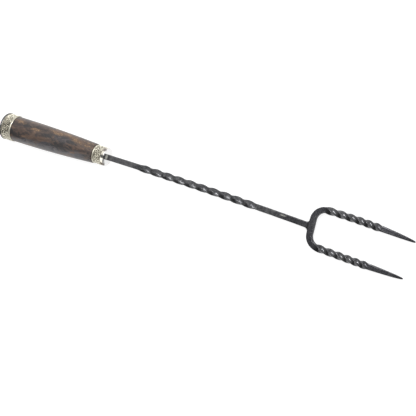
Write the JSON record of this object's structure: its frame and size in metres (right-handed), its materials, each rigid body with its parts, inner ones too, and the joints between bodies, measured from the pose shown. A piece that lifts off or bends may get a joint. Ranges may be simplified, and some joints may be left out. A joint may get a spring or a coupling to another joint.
{
  "type": "barbecue fork",
  "caption": "Long hand-forged two-tine fork with twisted square shaft and tines, turned wooden handle and metal caps.",
  "frame": {"origin": "centre of the butt plate's outer face, on the handle's axis", "axes": "+X along the handle and shaft towards the points, +Y across the two tines, +Z square to the plane of the tines"},
  "size_m": [0.4837, 0.049, 0.0305],
  "materials": {
    "forged_steel": "forged black scale, oiled, worn bright on the twist's corners",
    "wood": "dark figured hardwood, oiled to a satin gloss",
    "embossed_alpaca": "embossed nickel silver, darkened in the recesses",
    "polished_alpaca": "polished nickel silver",
    "plain_steel": "plain zinc-grey steel",
    "resin": "set resin, hidden"
  },
  "bodies": {
    "root": {"shaft": "forged_steel", "tine_bar": "forged_steel", "neck_weld": "forged_steel", "handle": "wood", "rear_band": "embossed_alpaca", "butt_plate": "polished_alpaca", "butt_rim": "polished_alpaca", "rear_band_rim": "polished_alpaca", "ferrule_band": "embossed_alpaca", "ferrule_rim": "polished_alpaca", "front_plate": "polished_alpaca", "tang_nut": "plain_steel", "tang_washer": "plain_steel", "tang_bedding": "resin"}
  },
  "joints": []
}
